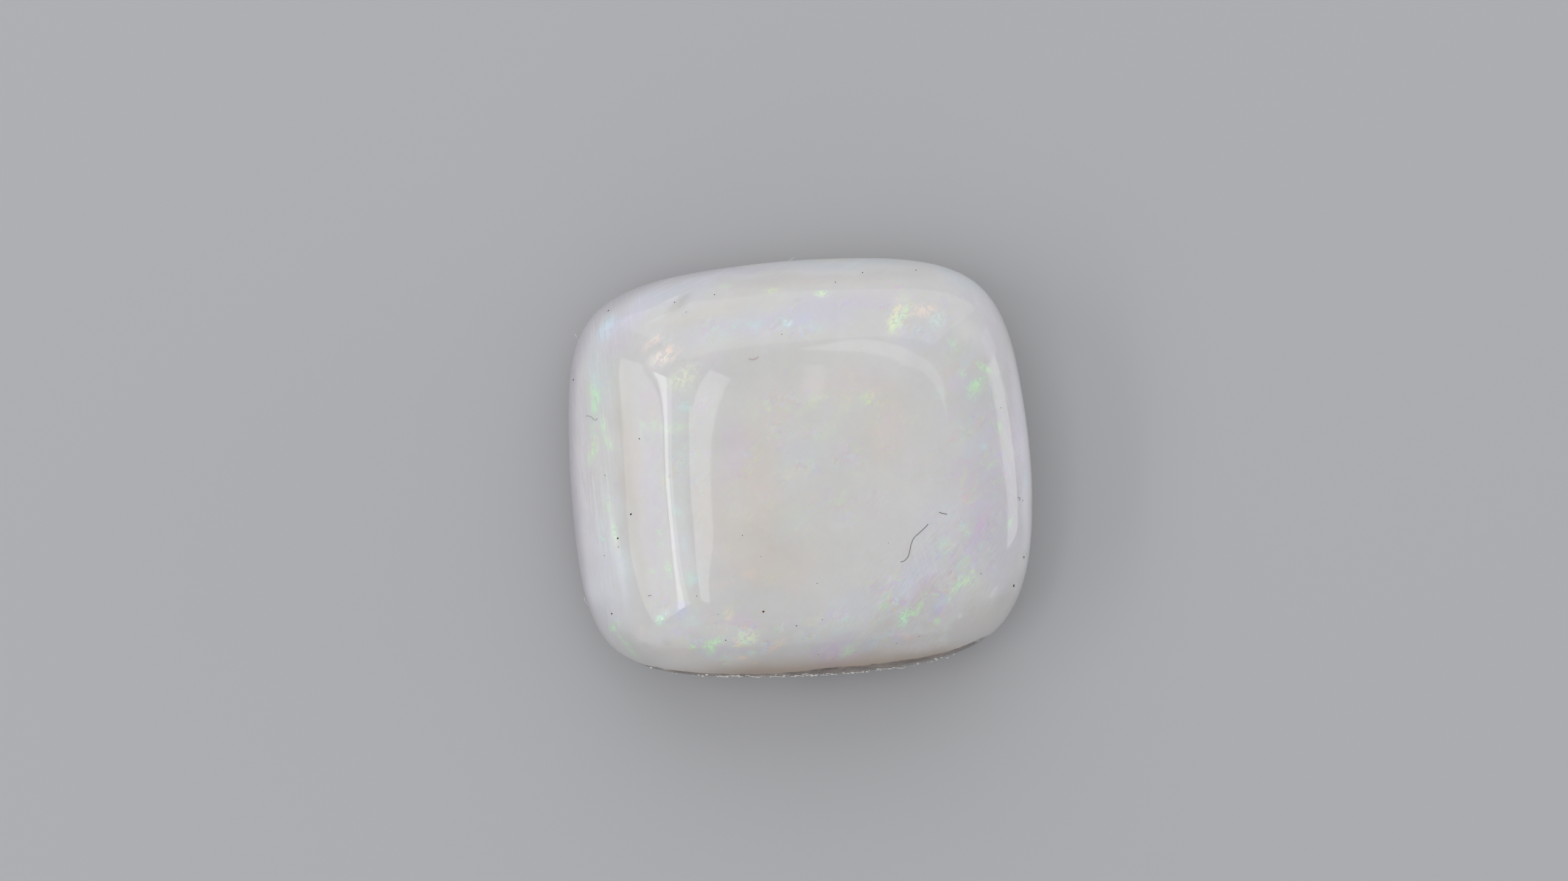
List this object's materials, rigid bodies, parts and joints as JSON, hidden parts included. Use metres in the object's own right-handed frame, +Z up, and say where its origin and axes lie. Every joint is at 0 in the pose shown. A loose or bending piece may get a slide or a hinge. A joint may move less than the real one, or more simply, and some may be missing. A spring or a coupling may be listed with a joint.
{
  "type": "polished opal cabochon",
  "caption": "Loose milky opal cabochon in one piece, an uneven cushion with a low polished dome, a wide sloping flank and a flat base.",
  "frame": {"origin": "on the flat base, under the middle of the stone's box", "axes": "+Z up from the flat base to the crown, +X along the stone's width towards its short steep flank, +Y towards the back edge"},
  "size_m": [0.012, 0.0108, 0.0042],
  "materials": {
    "milky_opal": "high polish, milky body colour with play of colour"
  },
  "bodies": {
    "root": {"opal_stone": "milky_opal"}
  },
  "joints": []
}
